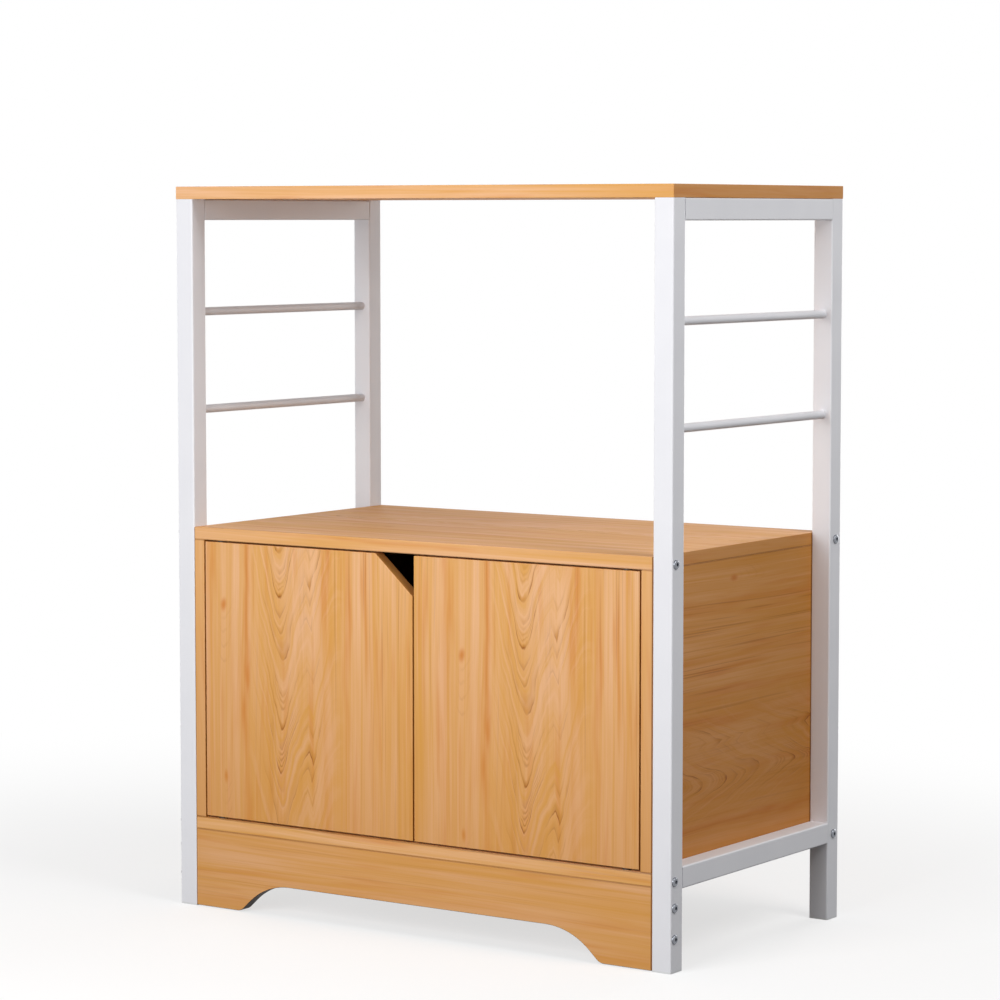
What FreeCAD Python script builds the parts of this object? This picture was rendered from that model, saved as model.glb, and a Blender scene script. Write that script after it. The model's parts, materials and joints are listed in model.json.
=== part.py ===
"""Kitchen shelving unit: steel side frames, an open bay, and a cupboard with two inset doors.

Millimetres, +Z up. The origin is on the floor under the middle of the unit, and the doors face -Y.
"""
import FreeCAD, Part
import math
import os
import re

import Sketcher
from FreeCAD import Placement, Rotation, Vector

SIZES = (
    # name, millimetres (degrees for a slope), what it measures
    ("overallWidth", 700, "outside of one side frame to the outside of the other"),
    ("overallDepth", 380, "front of the legs to the back of the legs"),
    ("overallHeight", 870, "floor to the top of the top board"),
    ("boardThickness", 15, "faced particle board of the shelves, side panels and apron"),
    ("edgeRadius", 0.6, "rounding of the board edges"),
    ("tubeSide", 25, "square steel tube of the legs and rails"),
    ("tubeWall", 1.2, "wall of that tube"),
    ("tubeRadius", 2, "outside corner radius of that tube"),
    ("middleShelfTop", 462, "floor to the top of the middle shelf"),
    ("bottomBoardTop", 110, "floor to the top of the cupboard's bottom board"),
    ("railDrop", 3, "bottom rail's underside below the bottom board's underside"),
    ("barDiameter", 10, "round towel bars in the side frames"),
    ("upperBarDrop", 150, "top of the unit down to the upper bars' centres"),
    ("lowerBarDrop", 268, "top of the unit down to the lower bars' centres"),
    ("plugFlange", 2, "foot plug's thickness under the tube"),
    ("plugDepth", 14, "foot plug's reach into the tube"),
    ("plugWall", 2, "wall of the foot plug's spigot"),
    ("apronClearance", 1, "apron's feet above the floor"),
    ("archHeight", 36, "arch above the apron's feet"),
    ("footWidth", 63, "flat part of each apron foot"),
    ("archSlope", 43, "slope of the arch's flanks, in degrees"),
    ("archTopRadius", 88, "hollow curve at the top of each flank"),
    ("archFootRadius", 14, "round curve at the foot of each flank"),
    ("doorThickness", 15, "door panels"),
    ("doorSideGap", 2, "door to side panel"),
    ("doorMeetGap", 2, "between the two doors"),
    ("doorTopGap", 2, "door to middle shelf"),
    ("doorBottomGap", 2.5, "door to bottom board"),
    ("notchWidth", 53, "finger notch along the left door's top edge"),
    ("notchHeight", 47, "finger notch down the left door's free edge"),
    ("pivotInset", 20, "pivot pin's axis from the door's hinge edge"),
    ("pinDiameter", 5, "pivot pins"),
    ("pinInDoor", 16, "pivot pin's length inside the door"),
    ("pinInBush", 9, "pivot pin's length inside the shelf's bush"),
    ("pinPlay", 0.2, "pivot pin to bush, on the radius"),
    ("bearingPlay", 0.3, "door edge to the bush flange that carries it"),
    ("bushDiameter", 8, "pivot bush sleeve"),
    ("bushFlange", 11, "pivot bush flange diameter"),
    ("boreSkin", 3, "wood left behind a blind bore"),
    ("fitPlay", 0.1, "piece to its bore, on the radius"),
    ("boltDiameter", 6, "frame bolts"),
    ("boltReach", 20, "frame bolt's length past the leg"),
    ("boltHeadDiameter", 10.5, "frame bolt's button head"),
    ("boltHeadHeight", 2.2, "frame bolt's button head"),
    ("boltHeadRound", 1.7, "rounding of the button head's rim"),
    ("boltTip", 0.8, "chamfer at the frame bolt's end"),
    ("boltSocket", 4, "frame bolt's hexagon socket across flats"),
    ("boltSocketDepth", 1.8, "frame bolt's hexagon socket"),
    ("boltPlay", 0.3, "frame bolt to the leg's hole, on the radius"),
    ("insertDiameter", 8, "threaded insert in the board ends"),
    ("insertLength", 16, "threaded insert"),
    ("apronBoltEdge", 22, "apron's top to its upper bolts"),
    ("apronBoltSpacing", 35, "upper to lower apron bolts"),
    ("railScrewInset", 60, "top rail's end to its board screw"),
    ("railScrewDiameter", 4.5, "board screws inside the top rails"),
    ("railScrewHead", 8.5, "board screw's pan head diameter"),
    ("railScrewHeadHeight", 2.5, "board screw's pan head"),
    ("railScrewAccess", 10, "hole under each top rail that lets its board screw and the driver in"),
    ("backThickness", 3, "hardboard back"),
    ("backInset", 20, "back panel's rear face from the boards' back edges"),
    ("grooveDepth", 6, "groove that holds the back panel"),
    ("groovePlay", 0.4, "back panel to its groove"),
    ("camDiameter", 15, "cam lock"),
    ("camSetback", 34, "side panel's end to the cam's centre"),
    ("camEdge", 70, "board edge to the cam fittings"),
    ("camBoltDiameter", 6.5, "cam bolt's shank and head"),
    ("camBoltNeck", 4.5, "cam bolt's neck inside the cam"),
    ("camBoltHead", 3.5, "length of the cam bolt's head"),
    ("camSlotPlay", 0.6, "cam bolt's head to the cam's slot"),
    ("crossWidth", 1.6, "driver cross in the cam's face"),
    ("crossLength", 9, "driver cross in the cam's face"),
    ("crossDepth", 2, "driver cross in the cam's face"),
    ("dowelDiameter", 8, "wood dowels"),
    ("dowelInPanel", 18, "dowel's length inside the side panel"),
    ("dowelEdge", 115, "board edge to the dowels"),
    ("dowelChamfer", 1, "dowel ends"),
    ("catchInset", 92, "door's free edge to the middle of its catch"),
    ("catchWidth", 28, "catch case between its ears"),
    ("catchHeight", 15, "catch case under the middle shelf"),
    ("catchDepth", 16, "catch case"),
    ("earWidth", 9, "each ear of the catch case"),
    ("earThickness", 3, "ears of the catch case"),
    ("magnetWidth", 22, "magnet in the catch"),
    ("magnetHeight", 8, "magnet in the catch"),
    ("magnetDepth", 10, "magnet's length inside the case"),
    ("magnetProud", 1, "magnet in front of the case"),
    ("magnetGap", 0.3, "magnet to the strike plate"),
    ("magnetDrop", 8, "middle shelf's underside to the magnet's centre"),
    ("smallScrewDiameter", 3, "screws of the catches and strike plates"),
    ("smallScrewHead", 5.5, "their head diameter"),
    ("smallScrewHeadHeight", 1.5, "their head height"),
    ("smallScrewBite", 9, "their length in the wood"),
    ("strikeLength", 46, "strike plate on each door"),
    ("strikeHeight", 9, "strike plate on each door"),
    ("strikeThickness", 1.2, "strike plate on each door"),
    ("strikeScrewInset", 5, "strike plate's end to its screw"),
)

NAMES = {name for name, _, _ in SIZES}

# Places that follow from the sizes, as expressions
INNER_WIDTH = "(overallWidth / 2 - tubeSide)"  # half the room between the legs
INNER_CUPBOARD = f"({INNER_WIDTH} - boardThickness)"  # half the room between the side panels
FRONT = "(-overallDepth / 2)"
BACK = "(overallDepth / 2)"
LEG_X = "(overallWidth / 2 - tubeSide / 2)"
LEG_Y = "(overallDepth / 2 - tubeSide / 2)"
LEG_TOP = "(overallHeight - boardThickness)"
RAIL_LENGTH = "(overallDepth - 2 * tubeSide)"
SHELF_UNDERSIDE = "(middleShelfTop - boardThickness)"
BOTTOM_UNDERSIDE = "(bottomBoardTop - boardThickness)"
PANEL_HEIGHT = f"({SHELF_UNDERSIDE} - bottomBoardTop)"
BORE_DEPTH = "(boardThickness - boreSkin)"
FRONT_BOLT_Y = f"({FRONT} + boardThickness / 2)"  # the middle of the apron's thickness
BACK_BOLT_Y = LEG_Y
SHELF_BOLT_Z = "(middleShelfTop - boardThickness / 2)"
BASE_BOLT_Z = "(bottomBoardTop - boardThickness / 2)"
UPPER_APRON_BOLT_Z = f"({BOTTOM_UNDERSIDE} - apronBoltEdge)"
LOWER_APRON_BOLT_Z = f"({UPPER_APRON_BOLT_Z} - apronBoltSpacing)"
INSERT_BORE = "(insertDiameter + 2 * fitPlay)"
RAIL_SCREW_Y = f"({RAIL_LENGTH} / 2 - railScrewInset)"
GROOVE_FRONT = f"({BACK} - backInset - backThickness - groovePlay)"
GROOVE_BACK = f"({BACK} - backInset)"
FITTING_X = f"({INNER_WIDTH} - boardThickness / 2)"  # the middle of a side panel's thickness
CAM_Y = f"({BACK} - camEdge)"
DOWEL_Y = f"({BACK} - dowelEdge)"
DOOR_OUTER = f"({INNER_CUPBOARD} - doorSideGap)"
DOOR_INNER = "(doorMeetGap / 2)"
DOOR_LOW = "(bottomBoardTop + doorBottomGap)"
DOOR_HIGH = f"({SHELF_UNDERSIDE} - doorTopGap)"
PIVOT_X = f"({DOOR_OUTER} - pivotInset)"
PIVOT_Y = f"({FRONT} + doorThickness / 2)"
BUSH_BORE = "(bushDiameter + 2 * fitPlay)"
CATCH_X = f"({DOOR_INNER} + catchInset)"
MAGNET_FRONT = f"({FRONT} + doorThickness + strikeThickness + magnetGap)"
CASE_FRONT = f"({MAGNET_FRONT} + magnetProud)"
EAR_SCREW_X = "(catchWidth / 2 + earWidth / 2)"
EAR_SCREW_Y = f"({CASE_FRONT} + catchDepth / 2)"
SMALL_BORE = "(smallScrewDiameter + 2 * fitPlay)"
MAGNET_Z = f"({SHELF_UNDERSIDE} - magnetDrop)"
STRIKE_SCREW_X = "(strikeLength / 2 - strikeScrewInset)"

doc = FreeCAD.newDocument("KitchenShelvingUnit")
sheet = doc.addObject("Spreadsheet::Sheet", "Sizes")
for row, (name, size, note) in enumerate(SIZES, start=1):
    sheet.set(f"A{row}", name)
    sheet.set(f"B{row}", str(size))
    sheet.setAlias(f"B{row}", name)
    sheet.set(f"C{row}", note)
doc.recompute()

nodes = []


def bound(expression):
    """The expression with each size's name pointing at its cell."""
    return re.sub(r"[A-Za-z]\w*", lambda m: f"Sizes.{m[0]}" if m[0] in NAMES else m[0], expression)


def bind(item, field, expression):
    item.setExpression(field, bound(expression))


def number(expression):
    """The expression's value now, for the first guess of a sketch."""
    return float(sheet.evalExpression(bound(expression)))


def place(item, x="0", y="0", z="0", turn=None):
    """Puts an item at a place that follows the sizes."""
    item.Placement = Placement(Vector(), turn or Rotation())
    for axis, expression in zip("xyz", (x, y, z)):
        bind(item, f"Placement.Base.{axis}", expression)


def new_body(label, x="0", y="0", z="0", is_node=True):
    body = doc.addObject("PartDesign::Body", label)
    body.Label = label
    place(body, x, y, z)
    if is_node:
        nodes.append(body)
    return body


PLANES = {"x": "YZ_Plane", "y": "XZ_Plane", "z": "XY_Plane"}


def faces_axis(plan):
    """Whether the sketch's own normal points along its axis: the XZ plane's points along -Y."""
    return plan.AttachmentSupport[0][0].Role != PLANES["y"]


def new_sketch(body, name, axis, at="0"):
    """A sketch square to the axis, at that place along it."""
    plan = body.newObject("Sketcher::SketchObject", name)
    plane = next(item for item in body.Origin.OriginFeatures if item.Role == PLANES[axis])
    plan.AttachmentSupport = [(plane, "")]
    plan.MapMode = "FlatFace"
    bind(plan, "AttachmentOffset.Base.z", at if faces_axis(plan) else f"-({at})")
    return plan


def constrain(plan, expression, kind, *where):
    index = plan.addConstraint(Sketcher.Constraint(kind, *where, number(expression)))
    name = f"size{index}"
    plan.renameConstraint(index, name)
    bind(plan, f"Constraints.{name}", expression)


def fix_point(plan, geometry, point, x, y):
    """Holds a point of the sketch at a place measured from the sketch's origin."""
    constrain(plan, x, "DistanceX", -1, 1, geometry, point)
    constrain(plan, y, "DistanceY", -1, 1, geometry, point)


def constrain_slope(plan, degrees, line):
    """Holds a line's angle from the sketch's X axis, given in degrees."""
    index = plan.addConstraint(Sketcher.Constraint("Angle", line, math.radians(number(degrees))))
    name = f"slope{index}"
    plan.renameConstraint(index, name)
    bind(plan, f"Constraints.{name}", f"({degrees}) * 1 deg")


def draw_line(plan, x0, y0, x1, y1):
    return plan.addGeometry(Part.LineSegment(Vector(x0, y0, 0), Vector(x1, y1, 0)))


def draw_arc(plan, x, y, radius, one_end, other_end):
    """An arc between two angles in degrees; a sketch's arcs start at the smaller one."""
    first, last = sorted((math.radians(one_end), math.radians(other_end)))
    circle = Part.Circle(Vector(x, y, 0), Vector(0, 0, 1), radius)
    return plan.addGeometry(Part.ArcOfCircle(circle, first, last))


def draw_outline(plan, corners):
    """A closed outline of straight lines through corners given as expressions."""
    spots = [Vector(number(x), number(y), 0) for x, y in corners]
    count = len(spots)
    lines = [plan.addGeometry(Part.LineSegment(spots[i], spots[(i + 1) % count])) for i in range(count)]
    for i, line in enumerate(lines):
        plan.addConstraint(Sketcher.Constraint("Coincident", line, 2, lines[(i + 1) % count], 1))
        fix_point(plan, line, 1, *corners[i])


def draw_rectangle(plan, left, low, right, high):
    draw_outline(plan, ((left, low), (right, low), (right, high), (left, high)))


def draw_rounded_square(plan, side, radius):
    """A square about the sketch's origin with rounded corners."""
    half, corner = number(side) / 2, number(radius)
    straight = half - corner
    lines, arcs = [], []
    for i in range(4):
        turn = Rotation(Vector(0, 0, 1), 90 * i)
        ends = [turn.multVec(Vector(x, -half, 0)) for x in (-straight, straight)]
        middle = turn.multVec(Vector(straight, -straight, 0))
        lines.append(plan.addGeometry(Part.LineSegment(*ends)))
        arcs.append(draw_arc(plan, middle.x, middle.y, corner, 90 * (i - 1), 90 * i))
    for i in range(4):
        plan.addConstraint(Sketcher.Constraint("Tangent", lines[i], 2, arcs[i], 1))
        plan.addConstraint(Sketcher.Constraint("Tangent", arcs[i], 2, lines[(i + 1) % 4], 1))
        plan.addConstraint(Sketcher.Constraint("Horizontal" if i % 2 == 0 else "Vertical", lines[i]))
        if i:
            plan.addConstraint(Sketcher.Constraint("Equal", arcs[0], arcs[i]))
    constrain(plan, radius, "Radius", arcs[0])
    reach = f"({side}) / 2"
    constrain(plan, f"-{reach}", "DistanceY", -1, 1, lines[0], 1)
    constrain(plan, reach, "DistanceX", -1, 1, lines[1], 1)
    constrain(plan, reach, "DistanceY", -1, 1, lines[2], 1)
    constrain(plan, f"-{reach}", "DistanceX", -1, 1, lines[3], 1)


def draw_circle(plan, x, y, diameter):
    circle = Part.Circle(Vector(number(x), number(y), 0), Vector(0, 0, 1), number(diameter) / 2)
    geometry = plan.addGeometry(circle)
    constrain(plan, diameter, "Diameter", geometry)
    fix_point(plan, geometry, 3, x, y)


def add_pad(body, plan, length, towards="+"):
    """Pads a sketch along its axis, one way or to both sides."""
    pad = body.newObject("PartDesign::Pad", f"{plan.Name}Pad")
    pad.Profile = plan
    if towards == "both":
        pad.SideType = "Symmetric"
    else:
        pad.Reversed = (towards == "+") != faces_axis(plan)
    bind(pad, "Length", length)
    return pad


def add_pocket(body, plan, depth, towards):
    """Cuts a sketch into the body along its axis."""
    pocket = body.newObject("PartDesign::Pocket", f"{plan.Name}Pocket")
    pocket.Profile = plan
    pocket.Reversed = (towards == "+") == faces_axis(plan)
    bind(pocket, "Length", depth)
    return pocket


def drill(body, name, axis, at, towards, spots, diameter, depth):
    """Drills round holes into the body, all of one size."""
    plan = new_sketch(body, name, axis, at)
    for x, y in spots:
        draw_circle(plan, x, y, diameter)
    return add_pocket(body, plan, depth, towards)


def round_edges(body, feature):
    """Rounds every edge of a board, as its edge banding is."""
    doc.recompute()
    fillet = body.newObject("PartDesign::Fillet", "EdgeRounding")
    fillet.Base = (feature, [""])
    fillet.UseAllEdges = True
    bind(fillet, "Radius", "edgeRadius")


def round_rim(body, feature, height, radius):
    """Rounds the outer rim of a turned piece at that height."""
    doc.recompute()
    rims = {}
    for index, edge in enumerate(feature.Shape.Edges, start=1):
        is_level = edge.BoundBox.ZLength < Part.Precision.confusion()
        if is_level and abs(edge.Vertexes[0].Z - number(height)) < Part.Precision.confusion():
            rims[edge.Length] = f"Edge{index}"
    fillet = body.newObject("PartDesign::Fillet", "RimRounding")
    fillet.Base = (feature, [rims[max(rims)]])
    bind(fillet, "Radius", radius)


def add_turned(body, outline):
    """Turns an outline of (radius, height) corners about the body's Z axis."""
    plan = new_sketch(body, "HalfSection", "y")
    draw_outline(plan, outline)
    turned = body.newObject("PartDesign::Revolution", "Turned")
    turned.Profile = plan
    turned.ReferenceAxis = (plan, ["V_Axis"])
    return turned


def group_copies(label, master, spots):
    """One node of equal pieces: links to the master, each at its own place."""
    copies = []
    for i, (x, y, z, turn) in enumerate(spots):
        copy = doc.addObject("App::Link", f"{label}_copy{i}")
        copy.LinkedObject = master
        place(copy, x, y, z, turn)
        copies.append(copy)
    group = doc.addObject("Part::Compound", label)
    group.Label = label
    group.Links = copies
    nodes.append(group)


def both_sides(expression):
    """The left and right places, with the side's name and its sign along X."""
    return (("left", -1, f"-{expression}"), ("right", 1, expression))


# Steel side frames
def make_leg(label, x, y, bolts):
    """A square tube on its foot plug, drilled through both walls for its bolts."""
    body = new_body(label, x, y, "plugFlange")
    plan = new_sketch(body, "TubeSection", "z")
    draw_rounded_square(plan, "tubeSide", "tubeRadius")
    draw_rounded_square(plan, "tubeSide - 2 * tubeWall", "tubeRadius - tubeWall")
    add_pad(body, plan, f"{LEG_TOP} - plugFlange")
    drill(body, "BoltHoles", "x", "tubeSide / 2", "-", bolts, "boltDiameter + 2 * boltPlay", "tubeSide")


def make_plug(label, x, y):
    """A plastic foot plug: a flange under the tube and a hollow spigot inside it."""
    body = new_body(label, x, y)
    flange = new_sketch(body, "Flange", "z")
    draw_rounded_square(flange, "tubeSide", "tubeRadius")
    add_pad(body, flange, "plugFlange")
    spigot_side = "tubeSide - 2 * tubeWall - 2 * fitPlay"
    spigot = new_sketch(body, "Spigot", "z", "plugFlange")
    draw_rounded_square(spigot, spigot_side, "tubeRadius - tubeWall")
    add_pad(body, spigot, "plugDepth")
    hollow = new_sketch(body, "Hollow", "z", "plugFlange + plugDepth")
    half = f"(({spigot_side}) / 2 - plugWall)"
    draw_rectangle(hollow, f"-{half}", f"-{half}", half, half)
    add_pocket(body, hollow, "plugDepth", "-")


def make_rail(label, x, z, screw_spots=()):
    """A square tube that butts between the front and back legs."""
    body = new_body(label, x, "0", z)
    plan = new_sketch(body, "TubeSection", "y")
    draw_rounded_square(plan, "tubeSide", "tubeRadius")
    draw_rounded_square(plan, "tubeSide - 2 * tubeWall", "tubeRadius - tubeWall")
    add_pad(body, plan, RAIL_LENGTH, "both")
    if screw_spots:
        drill(body, "AccessHoles", "z", "-tubeSide / 2", "+", screw_spots, "railScrewAccess", "tubeSide / 2")
        drill(body, "ScrewHoles", "z", "0", "+", screw_spots, "railScrewDiameter + 2 * boltPlay", "tubeSide / 2")


def make_bar(label, x, drop):
    """A round bar welded between the front and back legs."""
    bar = doc.addObject("Part::Cylinder", label)
    bar.Label = label
    bind(bar, "Radius", "barDiameter / 2")
    bind(bar, "Height", RAIL_LENGTH)
    place(bar, x, f"-{RAIL_LENGTH} / 2", f"overallHeight - {drop}", Rotation(Vector(1, 0, 0), -90))
    nodes.append(bar)


def make_side_frames():
    low = "plugFlange"
    shelf_heights = [f"{z} - {low}" for z in (SHELF_BOLT_Z, BASE_BOLT_Z)]
    apron_heights = [f"{z} - {low}" for z in (UPPER_APRON_BOLT_Z, LOWER_APRON_BOLT_Z)]
    front_y = f"{FRONT_BOLT_Y} + {LEG_Y}"
    front_bolts = [(front_y, z) for z in shelf_heights + apron_heights]
    back_bolts = [(f"{BACK_BOLT_Y} - {LEG_Y}", z) for z in shelf_heights]
    rail_screws = [("0", f"-{RAIL_SCREW_Y}"), ("0", RAIL_SCREW_Y)]
    for side, _, x in both_sides(LEG_X):
        make_leg(f"{side}_front_leg", x, f"-{LEG_Y}", front_bolts)
        make_leg(f"{side}_back_leg", x, LEG_Y, back_bolts)
        make_plug(f"{side}_front_foot_plug", x, f"-{LEG_Y}")
        make_plug(f"{side}_back_foot_plug", x, LEG_Y)
        make_rail(f"{side}_top_rail", x, f"{LEG_TOP} - tubeSide / 2", rail_screws)
        make_rail(f"{side}_bottom_rail", x, f"{BOTTOM_UNDERSIDE} - railDrop + tubeSide / 2")
        make_bar(f"{side}_upper_towel_bar", x, "upperBarDrop")
        make_bar(f"{side}_lower_towel_bar", x, "lowerBarDrop")


# Boards
def make_top_board():
    body = new_body("top_board", z=LEG_TOP)
    plan = new_sketch(body, "BoardOutline", "z")
    draw_rectangle(plan, "-overallWidth / 2", FRONT, "overallWidth / 2", BACK)
    round_edges(body, add_pad(body, plan, "boardThickness"))
    spots = [(x, y) for _, _, x in both_sides(LEG_X) for y in (f"-{RAIL_SCREW_Y}", RAIL_SCREW_Y)]
    drill(body, "ScrewPilots", "z", "0", "+", spots, "railScrewDiameter + 2 * fitPlay", BORE_DEPTH)


def drill_board_ends(body, spots):
    """Bores for the threaded inserts, into both ends of a board that fits between the legs."""
    depth = "max(boltReach; insertLength) + 2 * fitPlay"
    drill(body, "RightInsertBores", "x", INNER_WIDTH, "-", spots, INSERT_BORE, depth)
    drill(body, "LeftInsertBores", "x", f"-{INNER_WIDTH}", "+", spots, INSERT_BORE, depth)


def make_shelf_board(label, underside, inner_face, towards):
    """A shelf between the legs, bored on its inner face for the side panels, doors and back."""
    body = new_body(label, z=underside)
    plan = new_sketch(body, "BoardOutline", "z")
    draw_rectangle(plan, f"-{INNER_WIDTH}", FRONT, INNER_WIDTH, BACK)
    round_edges(body, add_pad(body, plan, "boardThickness"))
    drill_board_ends(body, [(y, "boardThickness / 2") for y in (FRONT_BOLT_Y, BACK_BOLT_Y)])
    cams, dowels = [], []
    for _, _, x in both_sides(FITTING_X):
        cams += [(x, f"-{CAM_Y}"), (x, CAM_Y)]
        dowels += [(x, f"-{DOWEL_Y}"), (x, DOWEL_Y)]
    cam_bore = "camBoltDiameter + 2 * fitPlay"
    drill(body, "CamBoltBores", "z", inner_face, towards, cams, cam_bore, BORE_DEPTH)
    drill(body, "DowelBores", "z", inner_face, towards, dowels, "dowelDiameter + 2 * fitPlay", BORE_DEPTH)
    pivots = [(x, PIVOT_Y) for _, _, x in both_sides(PIVOT_X)]
    drill(body, "BushBores", "z", inner_face, towards, pivots, BUSH_BORE, BORE_DEPTH)
    groove = new_sketch(body, "BackGroove", "z", inner_face)
    reach = f"({INNER_CUPBOARD} + grooveDepth)"
    draw_rectangle(groove, f"-{reach}", GROOVE_FRONT, reach, GROOVE_BACK)
    add_pocket(body, groove, "grooveDepth", towards)
    return body


def make_shelves():
    shelf = make_shelf_board("middle_shelf", SHELF_UNDERSIDE, "0", "+")
    ears = [f"{x} {sign} {EAR_SCREW_X}" for _, _, x in both_sides(CATCH_X) for sign in "-+"]
    spots = [(x, EAR_SCREW_Y) for x in ears]
    drill(shelf, "CatchPilots", "z", "0", "+", spots, SMALL_BORE, "smallScrewBite + fitPlay")
    make_shelf_board("bottom_board", BOTTOM_UNDERSIDE, "boardThickness", "-")


def make_side_panel(label, x, inner):
    """A cupboard side between the shelves; inner is the sign of its inner face along X."""
    body = new_body(label, x, "0", "bottomBoardTop")
    plan = new_sketch(body, "PanelOutline", "x")
    draw_rectangle(plan, FRONT, "0", BACK, PANEL_HEIGHT)
    round_edges(body, add_pad(body, plan, "boardThickness", "both"))
    inner_face = f"{inner} * boardThickness / 2"
    inwards = "-" if inner > 0 else "+"
    groove = new_sketch(body, "BackGroove", "x", inner_face)
    draw_rectangle(groove, GROOVE_FRONT, "0", GROOVE_BACK, PANEL_HEIGHT)
    add_pocket(body, groove, "grooveDepth", inwards)
    heights = ("camSetback", f"{PANEL_HEIGHT} - camSetback")
    cams = [(y, z) for y in (f"-{CAM_Y}", CAM_Y) for z in heights]
    drill(body, "CamBores", "x", inner_face, inwards, cams, "camDiameter + 2 * fitPlay", BORE_DEPTH)
    bolt_spots = [("0", f"-{CAM_Y}"), ("0", CAM_Y)]
    dowel_spots = [("0", f"-{DOWEL_Y}"), ("0", DOWEL_Y)]
    bolt_bore, dowel_bore = "camBoltDiameter + 2 * fitPlay", "dowelDiameter + 2 * fitPlay"
    for end, at, towards in (("Low", "0", "+"), ("High", PANEL_HEIGHT, "-")):
        drill(body, f"{end}BoltBores", "z", at, towards, bolt_spots, bolt_bore, "camSetback")
        drill(body, f"{end}DowelBores", "z", at, towards, dowel_spots, dowel_bore, "dowelInPanel + fitPlay")


def make_back_panel():
    back = doc.addObject("Part::Box", "back_panel")
    back.Label = "back_panel"
    tongue = "(grooveDepth - groovePlay)"
    bind(back, "Length", f"2 * ({INNER_CUPBOARD} + {tongue})")
    bind(back, "Width", "backThickness")
    bind(back, "Height", f"{PANEL_HEIGHT} + 2 * {tongue}")
    low_y = f"{GROOVE_FRONT} + groovePlay / 2"
    place(back, f"-({INNER_CUPBOARD} + {tongue})", low_y, f"bottomBoardTop - {tongue}")
    nodes.append(back)


def draw_arch(plan, half_width, top, low):
    """The apron's outline: flat feet, flanks that curve out of them, and a straight arch between."""
    slope = number("archSlope")
    sine, cosine = math.sin(math.radians(slope)), math.cos(math.radians(slope))
    foot_radius, top_radius = number("archFootRadius"), number("archTopRadius")
    half, head_z, foot_z = number(half_width), number(top), number(low)
    # First guesses; the constraints below hold the true sizes
    arch_z = foot_z + number("archHeight")
    foot_end = half - number("footWidth")
    low_x, low_z = foot_end - foot_radius * sine, foot_z + foot_radius * (1 - cosine)
    high_z = arch_z - top_radius * (1 - cosine)
    high_x = low_x - (high_z - low_z) * cosine / sine
    arch_end = high_x - top_radius * sine
    start, end = 1, 2

    def join(kind, first, first_end, second, second_end):
        plan.addConstraint(Sketcher.Constraint(kind, first, first_end, second, second_end))

    head = draw_line(plan, -half, head_z, half, head_z)
    arch = draw_line(plan, -arch_end, arch_z, arch_end, arch_z)
    plan.addConstraint(Sketcher.Constraint("Horizontal", arch))
    constrain(plan, f"{low} + archHeight", "DistanceY", -1, 1, arch, start)
    for sign, level, steep in ((-1, start, end), (1, end, start)):
        foot = draw_line(plan, sign * foot_end, foot_z, sign * half, foot_z)
        upright = draw_line(plan, sign * half, foot_z, sign * half, head_z)
        foot_arc = draw_arc(plan, sign * foot_end, foot_z + foot_radius, foot_radius, -90, -90 - sign * slope)
        flank = draw_line(plan, sign * low_x, low_z, sign * high_x, high_z)
        top_arc = draw_arc(plan, sign * arch_end, arch_z - top_radius, top_radius, 90, 90 - sign * slope)
        join("Coincident", foot, end, upright, start)
        join("Coincident", upright, end, head, level)
        join("Tangent", foot, start, foot_arc, level)
        join("Tangent", foot_arc, steep, flank, start)
        join("Tangent", flank, end, top_arc, steep)
        join("Tangent", top_arc, level, arch, level)
        plan.addConstraint(Sketcher.Constraint("Horizontal", foot))
        fix_point(plan, upright, start, f"{sign} * {half_width}", low)
        fix_point(plan, upright, end, f"{sign} * {half_width}", top)
        constrain(plan, f"{sign} * ({half_width} - footWidth)", "DistanceX", -1, 1, foot, start)
        constrain(plan, "archFootRadius", "Radius", foot_arc)
        constrain(plan, "archTopRadius", "Radius", top_arc)
        constrain_slope(plan, "180 - archSlope" if sign > 0 else "archSlope", flank)


def make_apron():
    """The arched board under the bottom board, between the front legs."""
    body = new_body("front_apron")
    plan = new_sketch(body, "ApronOutline", "y", FRONT)
    draw_arch(plan, INNER_WIDTH, BOTTOM_UNDERSIDE, "apronClearance")
    round_edges(body, add_pad(body, plan, "boardThickness"))
    drill_board_ends(body, [(FRONT_BOLT_Y, z) for z in (UPPER_APRON_BOLT_Z, LOWER_APRON_BOLT_Z)])


# Doors and their pivots
def make_door(side, sign):
    """An inset door with bores for its pivot pins and its strike plate's screws."""
    body = new_body(f"{side}_door_panel")
    plan = new_sketch(body, "DoorOutline", "y", FRONT)
    outer, inner = f"{sign} * {DOOR_OUTER}", f"{sign} * {DOOR_INNER}"
    if side == "left":
        corners = [(outer, DOOR_LOW), (inner, DOOR_LOW), (inner, f"{DOOR_HIGH} - notchHeight"),
                   (f"{inner} - notchWidth", DOOR_HIGH), (outer, DOOR_HIGH)]
        draw_outline(plan, corners)
    else:
        draw_rectangle(plan, inner, DOOR_LOW, outer, DOOR_HIGH)
    round_edges(body, add_pad(body, plan, "doorThickness"))
    spots = [(f"{sign} * {PIVOT_X}", PIVOT_Y)]
    bore, depth = "pinDiameter + 2 * fitPlay", "pinInDoor + fitPlay"
    drill(body, "LowPinBore", "z", DOOR_LOW, "+", spots, bore, depth)
    drill(body, "HighPinBore", "z", DOOR_HIGH, "-", spots, bore, depth)
    screws = [(f"{sign} * {CATCH_X} {way} {STRIKE_SCREW_X}", MAGNET_Z) for way in "-+"]
    back_face = f"{FRONT} + doorThickness"
    drill(body, "StrikePilots", "y", back_face, "-", screws, SMALL_BORE, "smallScrewBite + fitPlay")


def make_pin(label, x, low_end, length):
    pin = doc.addObject("Part::Cylinder", label)
    pin.Label = label
    bind(pin, "Radius", "pinDiameter / 2")
    bind(pin, "Height", length)
    place(pin, x, PIVOT_Y, low_end)
    nodes.append(pin)


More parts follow.
